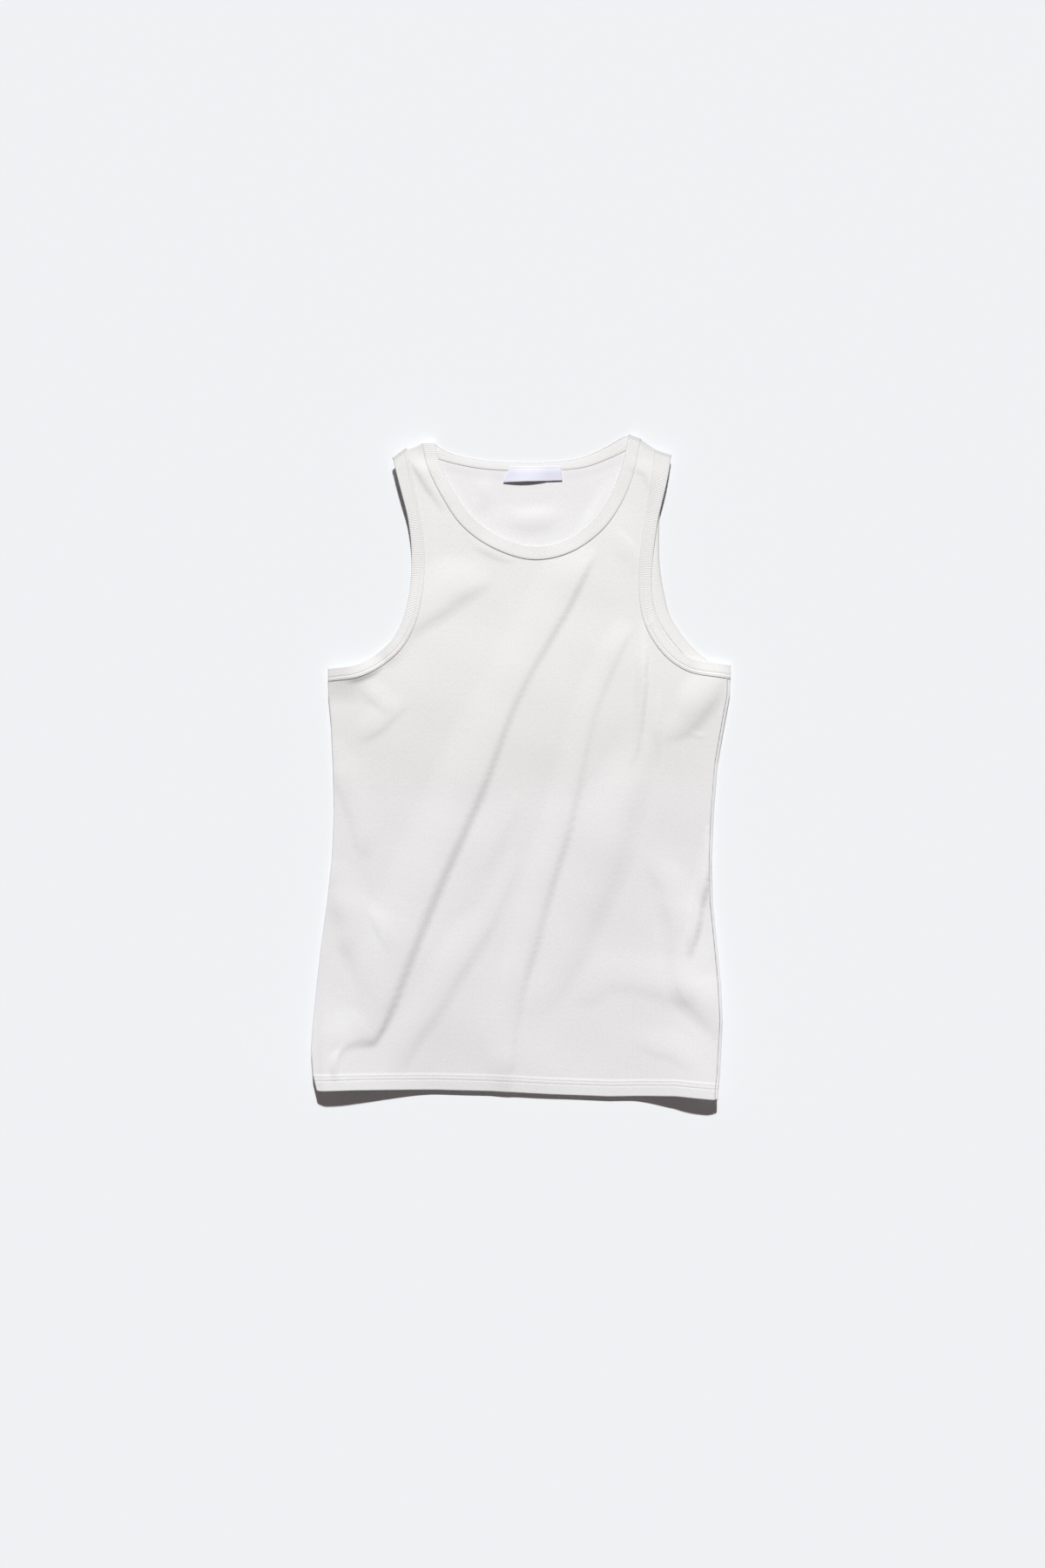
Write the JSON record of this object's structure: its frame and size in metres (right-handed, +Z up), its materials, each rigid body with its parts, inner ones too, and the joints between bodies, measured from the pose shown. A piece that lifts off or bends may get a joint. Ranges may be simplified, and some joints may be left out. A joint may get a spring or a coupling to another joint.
{
  "type": "tank top",
  "caption": "White ribbed cotton tank top laid flat, front uppermost, with a bound scoop neck, bound armholes, a turned hem and soft diagonal folds.",
  "frame": {"origin": "on the surface that the garment lies on, under the middle of its length and width", "axes": "+X to the right and +Y towards the shoulders, as seen from above with the front uppermost; +Z up from the surface"},
  "size_m": [0.4329, 0.6866, 0.0155],
  "materials": {
    "rib_jersey": "matt rib-knit cotton, off-white",
    "rib_binding": "matt rib-knit cotton band, off-white, ribs across the band",
    "woven_label": "plain woven satin tape, bluish white"
  },
  "bodies": {
    "root": {"front_panel": "rib_jersey", "back_panel": "rib_jersey", "neck_binding": "rib_binding", "left_armhole_binding": "rib_binding", "right_armhole_binding": "rib_binding", "neck_label": "woven_label"}
  },
  "joints": []
}
